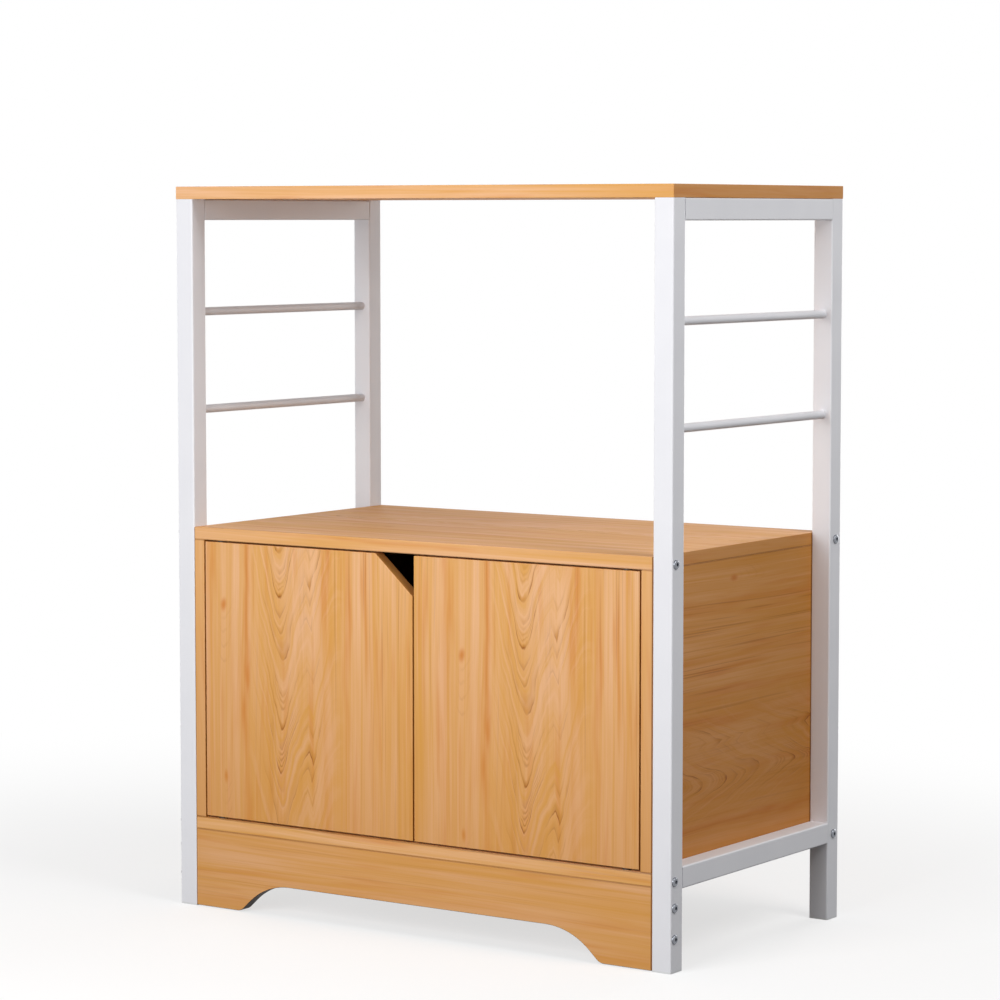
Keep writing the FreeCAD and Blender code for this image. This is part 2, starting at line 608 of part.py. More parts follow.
def make_strike(label, x):
    """A steel plate on the back of a door, which the magnet holds."""
    body = new_body(label, x, f"{FRONT} + doorThickness", MAGNET_Z)
    plan = new_sketch(body, "PlateOutline", "y")
    half_length, half_height = "strikeLength / 2", "strikeHeight / 2"
    draw_rectangle(plan, f"-{half_length}", f"-{half_height}", half_length, half_height)
    add_pad(body, plan, "strikeThickness")
    spots = [(f"-{STRIKE_SCREW_X}", "0"), (STRIKE_SCREW_X, "0")]
    drill(body, "ScrewHoles", "y", "strikeThickness", "-", spots, SMALL_BORE, "strikeThickness")


def make_doors(small_screw):
    lower_reach = "(doorBottomGap + pinInBush)"
    upper_reach = "(doorTopGap + pinInBush)"
    for side, sign, x in both_sides(PIVOT_X):
        make_door(side, sign)
        make_pin(f"{side}_lower_pivot_pin", x, f"{DOOR_LOW} - {lower_reach}", f"{lower_reach} + pinInDoor")
        make_pin(f"{side}_upper_pivot_pin", x, f"{DOOR_HIGH} - pinInDoor", f"{upper_reach} + pinInDoor")
        catch_x = f"{sign} * {CATCH_X}"
        make_strike(f"{side}_strike_plate", catch_x)
        plate_back = f"{FRONT} + doorThickness + strikeThickness"
        turn = Rotation(Vector(1, 0, 0), -90)
        screws = [(f"{catch_x} {way} {STRIKE_SCREW_X}", plate_back, MAGNET_Z, turn) for way in "-+"]
        group_copies(f"{side}_strike_screws", small_screw["strike"], screws)


def make_bushes():
    """Flanged nylon bushes that the pivot pins turn in; the doors stand on the lower flanges."""
    straight, flipped = Rotation(), Rotation(Vector(1, 0, 0), 180)
    ends = (("upper", SHELF_UNDERSIDE, "doorTopGap", straight),
            ("lower", "bottomBoardTop", "doorBottomGap", flipped))
    for end, z, gap, turn in ends:
        master = new_body(f"{end}_bush_master", is_node=False)
        bore, sleeve, flange = "pinDiameter / 2 + pinPlay", "bushDiameter / 2", "bushFlange / 2"
        thickness = f"-({gap} - bearingPlay)"
        top = f"{BORE_DEPTH} - fitPlay"
        add_turned(master, ((bore, thickness), (flange, thickness), (flange, "0"), (sleeve, "0"),
                            (sleeve, top), (bore, top)))
        spots = [(x, PIVOT_Y, z, turn) for _, _, x in both_sides(PIVOT_X)]
        group_copies(f"{end}_pivot_bushes", master, spots)


# Catches
def make_catches(small_screw):
    """Magnetic catches under the middle shelf: a case with two ears, its magnet and its screws."""
    case = new_body("catch_case_master", is_node=False)
    ears = new_sketch(case, "EarOutline", "z")
    reach = "(catchWidth / 2 + earWidth)"
    draw_rectangle(ears, f"-{reach}", "0", reach, "catchDepth")
    add_pad(case, ears, "earThickness", "-")
    block = new_sketch(case, "CaseOutline", "z", "-earThickness")
    draw_rectangle(block, "-catchWidth / 2", "0", "catchWidth / 2", "catchDepth")
    add_pad(case, block, "catchHeight - earThickness", "-")
    screws = [(f"{way}{EAR_SCREW_X}", "catchDepth / 2") for way in "-+"]
    drill(case, "ScrewHoles", "z", "0", "-", screws, SMALL_BORE, "earThickness")
    socket = new_sketch(case, "MagnetSocket", "y")
    half_width = "(magnetWidth / 2 + fitPlay)"
    half_height = "(magnetHeight / 2 + fitPlay)"
    low, high = f"-magnetDrop - {half_height}", f"-magnetDrop + {half_height}"
    draw_rectangle(socket, f"-{half_width}", low, half_width, high)
    add_pocket(case, socket, "magnetDepth + fitPlay", "+")

    magnet = new_body("magnet_master", is_node=False)
    plan = new_sketch(magnet, "MagnetOutline", "y", "-magnetProud")
    draw_rectangle(plan, "-magnetWidth / 2", "-magnetHeight / 2", "magnetWidth / 2", "magnetHeight / 2")
    add_pad(magnet, plan, "magnetProud + magnetDepth")
    poles = new_sketch(magnet, "PoleGap", "y", "-magnetProud")
    draw_rectangle(poles, "-magnetWidth / 2", "-magnetHeight / 4", "magnetWidth / 2", "magnetHeight / 4")
    add_pocket(magnet, poles, "magnetProud / 2", "+")

    sides = [x for _, _, x in both_sides(CATCH_X)]
    group_copies("catch_cases", case, [(x, CASE_FRONT, SHELF_UNDERSIDE, None) for x in sides])
    group_copies("catch_magnets", magnet, [(x, CASE_FRONT, MAGNET_Z, None) for x in sides])
    down = Rotation(Vector(1, 0, 0), 180)
    spots = [(f"{x} {way} {EAR_SCREW_X}", EAR_SCREW_Y, f"{SHELF_UNDERSIDE} - earThickness", down)
             for x in sides for way in "-+"]
    group_copies("catch_screws", small_screw["ear"], spots)


# Fasteners and fittings
def make_small_screws():
    """Pan-head wood screws: the head above z 0, the shank below it through what it holds."""
    screws = {}
    for use, holds in (("ear", "earThickness"), ("strike", "strikeThickness")):
        master = new_body(f"{use}_screw_master", is_node=False)
        head, shank, end = "smallScrewHead / 2", "smallScrewDiameter / 2", f"-({holds} + smallScrewBite)"
        tip = "smallScrewDiameter / 2"
        add_turned(master, (("0", end), (shank, f"{end} + {tip}"), (shank, "0"), (head, "0"),
                            (head, "smallScrewHeadHeight / 2"), (f"{head} / 2", "smallScrewHeadHeight"),
                            ("0", "smallScrewHeadHeight")))
        screws[use] = master
    return screws


def draw_hexagon(plan, across_flats):
    """A regular hexagon about the sketch's origin, with two flats upright."""
    flat, corner = f"({across_flats} / 2)", f"({across_flats} / sqrt(3))"
    draw_outline(plan, ((flat, f"-{corner} / 2"), (flat, f"{corner} / 2"), ("0", corner),
                        (f"-{flat}", f"{corner} / 2"), (f"-{flat}", f"-{corner} / 2"), ("0", f"-{corner}")))


def make_frame_bolts():
    """Button-head bolts through the legs into threaded inserts in the board ends."""
    bolt = new_body("frame_bolt_master", is_node=False)
    shank, head = "boltDiameter / 2", "boltHeadDiameter / 2"
    end = "-(tubeSide + boltReach)"
    turned = add_turned(bolt, (("0", end), (f"{shank} - boltTip", end), (shank, f"{end} + boltTip"),
                               (shank, "0"), (head, "0"), (head, "boltHeadHeight"), ("0", "boltHeadHeight")))
    round_rim(bolt, turned, "boltHeadHeight", "boltHeadRound")
    socket = new_sketch(bolt, "Socket", "z", "boltHeadHeight")
    draw_hexagon(socket, "boltSocket")
    add_pocket(bolt, socket, "boltSocketDepth", "-")

    insert = new_body("threaded_insert_master", is_node=False)
    bore, outside = "boltDiameter / 2 + fitPlay", "insertDiameter / 2"
    add_turned(insert, ((bore, "-insertLength"), (outside, "-insertLength"), (outside, "0"), (bore, "0")))

    outwards = {-1: Rotation(Vector(0, 1, 0), -90), 1: Rotation(Vector(0, 1, 0), 90)}
    uses = {
        "shelf": [(y, SHELF_BOLT_Z) for y in (FRONT_BOLT_Y, BACK_BOLT_Y)],
        "base": [(y, BASE_BOLT_Z) for y in (FRONT_BOLT_Y, BACK_BOLT_Y)],
        "apron": [(FRONT_BOLT_Y, z) for z in (UPPER_APRON_BOLT_Z, LOWER_APRON_BOLT_Z)],
    }
    for use, spots in uses.items():
        heads = [(f"{s} * overallWidth / 2", y, z, outwards[s]) for s in (-1, 1) for y, z in spots]
        ends = [(f"{s} * {INNER_WIDTH}", y, z, outwards[s]) for s in (-1, 1) for y, z in spots]
        group_copies(f"{use}_bolts", bolt, heads)
        group_copies(f"{use}_threaded_inserts", insert, ends)


def make_rail_screws():
    """Pan-head screws inside the top rails, up through the rail's top wall into the top board."""
    master = new_body("rail_screw_master", is_node=False)
    head, shank = "railScrewHead / 2", "railScrewDiameter / 2"
    end = f"-(tubeWall + {BORE_DEPTH} - fitPlay)"
    add_turned(master, (("0", end), (shank, f"{end} + railScrewDiameter"), (shank, "0"), (head, "0"),
                        (head, "railScrewHeadHeight / 2"), (f"{head} / 2", "railScrewHeadHeight"),
                        ("0", "railScrewHeadHeight")))
    down = Rotation(Vector(1, 0, 0), 180)
    spots = [(x, y, f"{LEG_TOP} - tubeWall", down)
             for _, _, x in both_sides(LEG_X) for y in (f"-{RAIL_SCREW_Y}", RAIL_SCREW_Y)]
    group_copies("top_board_screws", master, spots)


def make_cam_fittings():
    """Cam locks in the side panels, the bolts that they pull, and the dowels beside them."""
    slot = "(camBoltDiameter / 2 + camSlotPlay)"
    middle = "boardThickness / 2"
    cam = new_body("cam_master", is_node=False)
    disc = new_sketch(cam, "CamDisc", "z")
    draw_circle(disc, "0", "0", "camDiameter")
    add_pad(cam, disc, f"{BORE_DEPTH} - fitPlay")
    mouth = new_sketch(cam, "BoltSlot", "y", "camDiameter / 2")
    draw_rectangle(mouth, f"-{slot}", f"{middle} - {slot}", slot, f"{middle} + {slot}")
    add_pocket(cam, mouth, f"camDiameter / 2 + {slot}", "-")
    for name, long_side in (("CrossBar", "x"), ("CrossUpright", "y")):
        cross = new_sketch(cam, name, "z")
        across, along = ("crossLength / 2", "crossWidth / 2")
        if long_side == "y":
            across, along = along, across
        draw_rectangle(cross, f"-{across}", f"-{along}", across, along)
        add_pocket(cam, cross, "crossDepth", "+")

    bolt = new_body("cam_bolt_master", is_node=False)
    shank, neck = "camBoltDiameter / 2", "camBoltNeck / 2"
    head_low = "(camSetback - camBoltHead / 2)"
    neck_low = "(camSetback - camDiameter / 2)"
    screwed_end, head_high = f"-({BORE_DEPTH} - fitPlay)", f"{head_low} + camBoltHead"
    add_turned(bolt, (("0", screwed_end), (shank, screwed_end), (shank, neck_low), (neck, neck_low),
                      (neck, head_low), (shank, head_low), (shank, head_high), ("0", head_high)))

    dowel = new_body("dowel_master", is_node=False)
    radius, low, high = "dowelDiameter / 2", f"-({BORE_DEPTH} - fitPlay)", "dowelInPanel"
    narrow = f"({radius} - dowelChamfer)"
    add_turned(dowel, (("0", low), (narrow, low), (radius, f"{low} + dowelChamfer"),
                       (radius, f"{high} - dowelChamfer"), (narrow, high), ("0", high)))

    upright, flipped = Rotation(), Rotation(Vector(1, 0, 0), 180)
    ends = ((-1, "bottomBoardTop", upright), (1, SHELF_UNDERSIDE, flipped))
    cams, bolts, dowels = [], [], []
    for sign in (-1, 1):
        for end, face, turn in ends:
            x_axis, y_axis, z_axis = Vector(0, sign * end, 0), Vector(0, 0, end), Vector(sign, 0, 0)
            cam_turn = Rotation(x_axis, y_axis, z_axis, "ZYX")
            cam_z = f"{face} - {end} * camSetback"
            for way in (-1, 1):
                cams.append((f"{sign} * {INNER_CUPBOARD}", f"{way} * {CAM_Y}", cam_z, cam_turn))
                bolts.append((f"{sign} * {FITTING_X}", f"{way} * {CAM_Y}", face, turn))
                dowels.append((f"{sign} * {FITTING_X}", f"{way} * {DOWEL_Y}", face, turn))
    group_copies("cam_locks", cam, cams)
    group_copies("cam_bolts", bolt, bolts)
    group_copies("wood_dowels", dowel, dowels)


def check_model():
    """Stops the build where an object failed, a cut cut nothing or a shape is unsound."""
    for item in doc.Objects:
        if {"Invalid", "Error"} & set(item.State):
            raise RuntimeError(f"{item.Label} failed: {item.State}")
        if item.TypeId == "PartDesign::Pocket" and not item.Shape.Volume < item.BaseFeature.Shape.Volume:
            raise RuntimeError(f"{item.Label} cut nothing")
    for node in nodes:
        if node.Shape.isNull() or not node.Shape.isValid() or not node.Shape.Solids:
            raise RuntimeError(f"{node.Label} has no sound solid")


make_side_frames()
make_top_board()
make_shelves()
for side_name, side_sign, panel_x in both_sides(FITTING_X):
    make_side_panel(f"{side_name}_side_panel", panel_x, -side_sign)
make_back_panel()
make_apron()
screw_masters = make_small_screws()
make_doors(screw_masters)
make_bushes()
make_catches(screw_masters)
make_frame_bolts()
make_rail_screws()
make_cam_fittings()
doc.recompute()
check_model()

os.makedirs("parts", exist_ok=True)
for node in nodes:
    node.Shape.exportStep(f"parts/{node.Label}.step")
print(f"{len(nodes)} nodes, {sum(len(node.Shape.Solids) for node in nodes)} solids")
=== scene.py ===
import json
import math

import bpy
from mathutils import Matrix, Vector


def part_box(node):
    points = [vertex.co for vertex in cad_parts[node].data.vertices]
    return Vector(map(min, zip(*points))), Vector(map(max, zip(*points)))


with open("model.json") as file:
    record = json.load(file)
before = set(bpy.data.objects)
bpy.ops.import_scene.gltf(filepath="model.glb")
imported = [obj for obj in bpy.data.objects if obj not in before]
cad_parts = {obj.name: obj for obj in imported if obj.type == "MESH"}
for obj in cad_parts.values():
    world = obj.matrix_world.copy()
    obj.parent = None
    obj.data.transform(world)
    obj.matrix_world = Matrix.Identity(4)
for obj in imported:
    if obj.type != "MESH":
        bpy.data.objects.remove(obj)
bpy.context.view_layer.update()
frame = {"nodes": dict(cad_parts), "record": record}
nodes = frame["nodes"]
slotOf = {piece["node"]: piece["material_slot"] for piece in frame["record"]["subparts"]}
scene = bpy.context.scene
scene.view_settings.view_transform = "Standard"
mm = 0.001
print("frame loaded:", len(nodes), "CAD nodes")


def fromHex(code):  # sRGB hex to the linear colour that a socket takes
    parts = [int(code[i:i + 2], 16) / 255 for i in (1, 3, 5)]
    return [c / 12.92 if c <= 0.04045 else ((c + 0.055) / 1.055) ** 2.4 for c in parts] + [1.0]


# one node with its settings, its values and its links; gives one output, or all of them for out=None
def addNode(tree, kind, inputs=(), out=0, **settings):
    node = tree.nodes.new("ShaderNode" + kind)
    for name, value in settings.items():
        setattr(node, name, value)
    for socket, value in inputs.items() if isinstance(inputs, dict) else enumerate(inputs):
        if isinstance(value, bpy.types.NodeSocket):
            tree.links.new(value, node.inputs[socket])
        else:
            node.inputs[socket].default_value = value
    return node.outputs if out is None else node.outputs[out]


def newMaterial(name):
    material = bpy.data.materials.new(name)
    material.use_nodes = True
    material.node_tree.nodes.clear()
    return material, material.node_tree


# Beech-look melamine foil: a printed film pressed hot onto chipboard. The eye gets flat ink under an even
# satin sheen: pink-gold streaks, one column of nested hearts with thin dark tips, a flame beside it
boardFoil = {
    "inks": {"light": "#EEBC93", "body": "#E0A86B", "gold": "#DA9D43", "deep": "#C78844",
             "blush": "#CE7824", "ring": "#8A4206", "tongue": "#C88632"},
    "sideShade": "#E7D5B2",  # painted shade: the faces that look sideways are multiplied by this tone and render darker
    "facing": 0.6,  # a face looks along an axis when that part of its normal is larger than this
    "repeatAlong": 209, "repeatAcross": 310,  # mm from one print of the figures to the next
    # noise that bends the print: width across the grain and length along it in mm, layer, detail
    "bends": {"wander": (34, 75, 31.5, 1.0), "sway": (60, 140, 43.5, 1.0), "tremble": (6, 18, 61.5, 1.0),
              "patchy": (11, 40, 51.5, 1.0), "lean": (70, 330, 111.5, 0.0), "fade": (95, 190, 131.5, 0.0)},
    "push": {"wander": 16, "sway": 16, "tremble": 9, "lean": 14},  # how far it moves the print, mm
    # noise that colours it, in the same terms
    "streaks": {"broad": (17, 700, 1.5, 2.0), "cloud": (45, 260, 71.5, 1.0), "thread": (4.5, 420, 7.5, 2.0),
                "pale": (3.2, 300, 101.5, 1.0), "warm": (10, 170, 21.5, 2.0), "line": (2.6, 190, 81.5, 1.0),
                "cluster": (60, 700, 91.5, 0.0),
                "fibre": (1.3, 60, 13.5, 1.0)},  # real fibres are finer: drawn coarse enough to show
    "calm": (20, 40, 75, 0.4),  # streaks are weaker about the heart: mm across, from, to, and how weak
    "calmed": ("broad", "thread", "pale"),
    "flanks": (15, 110, 121.5, 2.0),  # noise of the soft bands that follow the rings there instead
    # where a noise starts to show and where it is full
    "gilt": (0.5, 0.66), "milky": (0.46, 0.34),  # gold and pale soft bands
    "lines": (0.6, 0.72), "bunches": (0.45, 0.6),  # thin lines, and the places where they bunch
    "fades": (0.44, 0.56),  # figures, on a board where they fade
    "broken": (0.38, 0.58, 0.2),  # ring lines, which break up, and the least that is left of them
    "uneven": (0.3, 0.7, 0.25),  # long streaks, which come and go, and the least that is left of them
    "shadeHeights": (0.40, 0.11),  # painted shade: heights in metres between which upright faces darken towards the floor
    # long orange streaks beside the heart: mm across from it, half width, strength
    "bands": ((-52, 8, 1.0), (67, 15, 0.35), (98, 8, 0.45), (-112, 10, 0.4), (134, 9, 0.3)),
    "knots": ((-86, 130, 3.6, 8.0), (-52, 44, 4.2, 26.0)),  # mm across, mm along, half width, half length
    "knotEdge": (1.5, 0.1),  # where a knot starts and is full, as a share of its size
    # inks in the order they go on: what steers it, where it starts and is full, how strong, and the ink;
    # a strength given by a name is the board's own
    "washes": (
        ("broad", 0.4, 0.62, 0.85, "light"), ("cloud", 0.45, 0.7, 0.55, "gold"),
        ("thread", 0.5, 0.74, 0.6, "gold"), ("pale", 0.56, 0.74, 0.45, "light"),
        ("warm", 0.56, 0.78, 0.5, "blush"), ("fibre", 0.45, 0.75, 0.26, "gold"),
        ("gilt", 0.0, 1.0, 1.0, "gold"), ("milky", 0.0, 1.0, 0.8, "light"),
        ("lines", 0.0, 1.0, "lining", "ring"), ("glow", 0.0, 1.0, 0.75, "blush"),
        # the lowness wash is painted shade: upright faces darken towards the floor
        ("ringWarm", 0.0, 1.0, 0.7, "tongue"), ("lowness", 0.0, 1.0, "lowShade", "deep"),
        ("ringRim", 0.0, 1.0, 0.7, "light"), ("ringLine", 0.0, 1.0, 0.85, "ring")),
    "roughness": (0.5, 0.6), "glossNoise": (0.3, 0.7), "ior": 1.48, "specular": 0.2,
    "emboss": 0.03, "bump": 0.25,  # depth in mm, and its share
}
# one growth ring of the print, mm across and mm along: a narrow heart at 0, a flame with a sharp crest
# and a sharp foot, and a small cup under the knot
ringOutline = {
    "points": ((-155, 126), (-118, 106), (-98, 98), (-91, 85), (-86, 81), (-81, 86), (-74, 104), (-64, 150),
               (-52, 170), (-42, 152), (-32, 112), (-22, 75), (-13.7, 43), (-7.7, 19), (-3, 8.5), (0, 6),
               (3, 8.5), (7.7, 19), (13.7, 43), (22, 68), (30, 86), (37.5, 98), (45, 82), (52, 104),
               (60, 132), (70, 166), (90, 190), (155, 126)),
    "sharp": (37.5, 45), "tip": 6, "high": 200,
}
# figures of the print: where each is seen (mm across, reach to each side), and the rings drawn there as
# (mm along, strength, how far the warm ink runs up from the tip)
figures = (
    (0, 30, ((144, 1.0, 7), (152.5, 0.7, 6), (158, 0.5, 5), (164, 0.45, 6), (172, 0.4, 8), (196, 1.0, 8))),
    (0, 33, ((9, 0.45, 6), (16, 0.4, 6), (23.5, 0.5, 8), (67, 0.7, 26), (100, 0.3, 6), (121, 0.35, 8))),
    (45, 22, ((76.5, 1.0, 14), (58, 0.5, 9), (30, 0.3, 8), (110, 0.3, 8), (178, 0.3, 8))),
    (-86, 17, ((194, 0.12, 4), (3, 0.2, 4), (21, 0.16, 4), (37, 0.12, 4))),
)
# one ring across its width in mm, upwards from its dark line: a pale rim below, the line, the warm ink
# above; and the shares of a figure's reach within which its lines are full and its warm ink shows
ringProfile = {"rimFrom": 4.2, "rimAt": 2.1, "lineTo": 2.3, "lineRoom": 0.4, "tail": 0.35, "rim": 0.2,
               "warmAt": 0.5, "fullWithin": 0.2, "warmWithin": 0.25}

# for each board: the axis its grain runs along and which way, the axis across its face, where its low
# corner lies on the print (mm across to the heart, mm along), how strong a painted shade darkens it towards
# the floor, how strong its thin lines are, and how far its figures fade here and there so that no repeat
# shows
boards = {
    "top_board": {"grain": "X", "way": 1, "across": "Y", "heart": 210, "start": 60,
                  "lowShade": 0, "lining": 0.22, "fading": 0.9},
    "middle_shelf": {"grain": "X", "way": 1, "across": "Y", "heart": 235, "start": 150,
                     "lowShade": 0, "lining": 0.22, "fading": 0.9},
    "bottom_board": {"grain": "X", "way": 1, "across": "Y", "heart": 190, "start": 20,
                     "lowShade": 0, "lining": 0.22, "fading": 0.9},
    "front_apron": {"grain": "X", "way": -1, "across": "Z", "heart": -90, "start": 120,
                    "lowShade": 0.38, "lining": 0.14, "fading": 0},
    "left_side_panel": {"grain": "Y", "way": -1, "across": "Z", "heart": 95, "start": 130,
                        "lowShade": 0.5, "lining": 0.36, "fading": 0},
    "right_side_panel": {"grain": "Y", "way": -1, "across": "Z", "heart": 103, "start": 95,
                         "lowShade": 0.5, "lining": 0.36, "fading": 0},
    "left_door_panel": {"grain": "Z", "way": 1, "across": "X", "heart": 115, "start": -338,
                        "lowShade": 0.45, "lining": 0.22, "fading": 0},
    "right_door_panel": {"grain": "Z", "way": 1, "across": "X", "heart": 155, "start": -302,
                         "lowShade": 0.45, "lining": 0.22, "fading": 0},
}

# painted shade: dark hairlines that stand for the shadow in the joints where boards butt against each other
# or a leg:
# the axis across the line, how far out it lies, the axis its face looks along, and its strength
legInside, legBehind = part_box("right_front_leg")[0][0], -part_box("right_front_leg")[1][1]
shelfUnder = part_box("middle_shelf")[0][2]
baseTop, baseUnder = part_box("bottom_board")[1][2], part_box("bottom_board")[0][2]
besideLeg = (("X", legInside, "Y", 0.85), ("Y", legBehind, "X", 0.5))
underShelf = (("Z", shelfUnder, "Y", 0.4), ("Z", shelfUnder, "X", 0.45))
overBase = (("Z", baseTop, "Y", 0.6), ("Z", baseTop, "X", 0.45))
underBase = (("Z", baseUnder, "Y", 0.45),)
jointShadows = {
    "middle_shelf": besideLeg + underShelf,
    "bottom_board": besideLeg + overBase + underBase,
    "front_apron": besideLeg + underBase,
    "left_side_panel": besideLeg + underShelf + overBase,
    "right_side_panel": besideLeg + underShelf + overBase,
}
jointShadowLook = {"ink": "#5E2D08", "from": 1.5, "full": 0.5}  # painted shadow line: its ink, and mm from the joint where a line starts and is full
# painted shade: the front apron's faces that look downwards, its arch cut and underside, are drawn
# near-black; the limits are of the upward part of a face's normal
downFaceShade = {"boards": ("front_apron",), "shadeTone": "#22140A", "from": -0.1, "full": -0.3}


# the stops of a figure's ramp: red for the dark line, green for the pale rim, blue for the warm ink
def ringStops(rings, period):
    ring, tip = ringProfile, ringOutline["tip"]
    places = sorted(((along - tip) % period, strength, warm) for along, strength, warm in rings)
    stops = []
    for i, (place, strength, warm) in enumerate(places):
        room = (places[(i + 1) % len(places)][0] - place) % period - ring["rimFrom"]
        lineEnd = place + min(ring["lineTo"], room * ring["lineRoom"])
        stops += [(place - ring["rimFrom"], 0, 0, 0),
                  (place - ring["rimAt"], 0, strength * ring["rim"], 0),
                  (place, strength, 0, strength * ring["warmAt"]),
                  (lineEnd, strength * ring["tail"], 0, strength),
                  (place + min(warm, room), 0, 0, 0)]
    return sorted((place % period / period, line, rim, warm) for place, line, rim, warm in stops)


def makeBoardFoil(board, cut):
    foil, push = boardFoil, boardFoil["push"]
    grain, across = cut["grain"], cut["across"]
    depth = next(axis for axis in "XYZ" if axis not in (grain, across))
    corner = dict(zip("XYZ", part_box(board)[0]))
    ink = {use: fromHex(code) for use, code in foil["inks"].items()}
    material, tree = newMaterial("beechFoil." + board)

    # the print wraps round the long edges; on an end it turns, as a strip of edge band does
    place = addNode(tree, "TexCoord", out=None)
    at = addNode(tree, "SeparateXYZ", [place["Object"]], out=None)
    facing = addNode(tree, "SeparateXYZ", [place["Normal"]], out=None)
    looks = {}
    for axis in "XYZ":
        turned = addNode(tree, "Math", [facing[axis]], operation="ABSOLUTE")
        looks[axis] = addNode(tree, "Math", [turned, foil["facing"]], operation="GREATER_THAN")
    onEnd, onFace = looks[grain], looks[depth]
    start = cut["start"] - cut["way"] * corner[grain] / mm
    lengthways = addNode(tree, "Math", [at[grain], cut["way"] / mm, start], operation="MULTIPLY_ADD")
    start = -corner[across] / mm - cut["heart"]
    sideways = addNode(tree, "Math", [at[across], 1 / mm, start], operation="MULTIPLY_ADD")
    inwards = addNode(tree, "Math", [at[depth], 1 / mm, -corner[depth] / mm], operation="MULTIPLY_ADD")
    wrapped = addNode(tree, "Math", [sideways, inwards], operation="ADD")
    along = addNode(tree, "Mix", {0: onEnd, 2: lengthways, 3: sideways})
    side = addNode(tree, "Mix", {0: onEnd, 2: wrapped, 3: inwards})

    # where a point lies on the repeat of the print, pushed about so that no two repeats are quite alike
    streak = {}
    spot = addNode(tree, "CombineXYZ", [along, side])
    for name, (width, length, layer, detail) in foil["bends"].items():
        size = (1 / length, 1 / width, 1)
        sized = addNode(tree, "VectorMath", [spot, size, (0, 0, layer)], operation="MULTIPLY_ADD")
        streak[name] = addNode(tree, "TexNoise", {"Vector": sized, "Scale": 1.0, "Detail": detail})
    period, half = foil["repeatAlong"], foil["repeatAcross"] / 2
    pushed = addNode(tree, "Math", [streak["wander"], push["wander"], side], operation="MULTIPLY_ADD")
    pushed = addNode(tree, "Math", [pushed, push["wander"] / 2], operation="SUBTRACT")
    off = addNode(tree, "Math", [pushed, half, -half], operation="WRAP")
    swayed = addNode(tree, "Math", [streak["sway"], push["sway"], along], operation="MULTIPLY_ADD")
    swayed = addNode(tree, "Math", [swayed, push["sway"] / 2], operation="SUBTRACT")
    trembled = addNode(tree, "Math", [streak["tremble"], push["tremble"], swayed], operation="MULTIPLY_ADD")
    trembled = addNode(tree, "Math", [trembled, push["tremble"] / 2], operation="SUBTRACT")
    leant = addNode(tree, "Math", [streak["lean"], push["lean"], side], operation="MULTIPLY_ADD")
    spot = addNode(tree, "CombineXYZ", [along, leant])
    for name, (width, length, layer, detail) in foil["streaks"].items():
        size = (1 / length, 1 / width, 1)
        sized = addNode(tree, "VectorMath", [spot, size, (0, 0, layer)], operation="MULTIPLY_ADD")
        streak[name] = addNode(tree, "TexNoise", {"Vector": sized, "Scale": 1.0, "Detail": detail})

    # rings follow the outline one above the other along the grain
    spread = addNode(tree, "Math", [off, 1 / foil["repeatAcross"], 0.5], operation="MULTIPLY_ADD")
    outline = addNode(tree, "FloatCurve", {"Value": spread})
    points = outline.node.mapping.curves[0].points
    drawn = [(x / foil["repeatAcross"] + 0.5, y / ringOutline["high"]) for x, y in ringOutline["points"]]
    points[0].location, points[1].location = drawn[0], drawn[-1]
    for (x, _), spotOnCurve in list(zip(ringOutline["points"], drawn))[1:-1]:
        points.new(*spotOnCurve).handle_type = "VECTOR" if x in ringOutline["sharp"] else "AUTO"
    outline.node.mapping.update()
    level = addNode(tree, "Math", [outline, -ringOutline["high"], trembled], operation="MULTIPLY_ADD")
    width, length, layer, detail = foil["flanks"]
    size = (1 / width, 1 / length, 1)
    flank = addNode(tree, "CombineXYZ", [level, side])
    flank = addNode(tree, "VectorMath", [flank, size, (0, 0, layer)], operation="MULTIPLY_ADD")
    flank = addNode(tree, "TexNoise", {"Vector": flank, "Scale": 1.0, "Detail": detail})
    level = addNode(tree, "Math", [level, period, 0.0], operation="WRAP")
    level = addNode(tree, "Math", [level, period], operation="DIVIDE")
    ringLine, ringRim, ringWarm = 0.0, 0.0, 0.0
    for seenAt, reach, rings in figures:
        drawn = addNode(tree, "ValToRGB", [level])
        ramp = drawn.node.color_ramp.elements
        for i, (position, *inked) in enumerate(ringStops(rings, period)):
            stop = ramp[i] if i < 2 else ramp.new(position)  # a new ramp has two stops
            stop.position, stop.color = position, (*inked, 1)
        parts = addNode(tree, "SeparateColor", [drawn], out=None)
        aside = addNode(tree, "Math", [off, seenAt], operation="SUBTRACT")
        aside = addNode(tree, "Math", [aside], operation="ABSOLUTE")
        near = addNode(tree, "MapRange", {"Value": aside, "From Min": reach,
                                          "From Max": reach * ringProfile["fullWithin"]},
                       interpolation_type="SMOOTHSTEP")
        core = addNode(tree, "MapRange", {"Value": aside, "From Min": reach * ringProfile["warmWithin"],
                                          "From Max": 0.0}, interpolation_type="SMOOTHSTEP")
        ringLine = addNode(tree, "Math", [parts["Red"], near, ringLine], operation="MULTIPLY_ADD")
        ringRim = addNode(tree, "Math", [parts["Green"], near, ringRim], operation="MULTIPLY_ADD")
        ringWarm = addNode(tree, "Math", [parts["Blue"], core, ringWarm], operation="MULTIPLY_ADD")
    low, high = foil["fades"]
    shown = addNode(tree, "MapRange", {"Value": streak["fade"], "From Min": low, "From Max": high,
                                       "To Min": 1 - cut["fading"]})
    shown = addNode(tree, "Math", [shown, onFace], operation="MULTIPLY")
    low, high, least = foil["broken"]
    broken = addNode(tree, "MapRange", {"Value": streak["patchy"], "From Min": low, "From Max": high,
                                        "To Min": least})
    broken = addNode(tree, "Math", [broken, shown], operation="MULTIPLY")
    ringLine = addNode(tree, "Math", [ringLine, broken], operation="MULTIPLY")
    ringRim = addNode(tree, "Math", [ringRim, broken], operation="MULTIPLY")
    ringWarm = addNode(tree, "Math", [ringWarm, shown], operation="MULTIPLY")

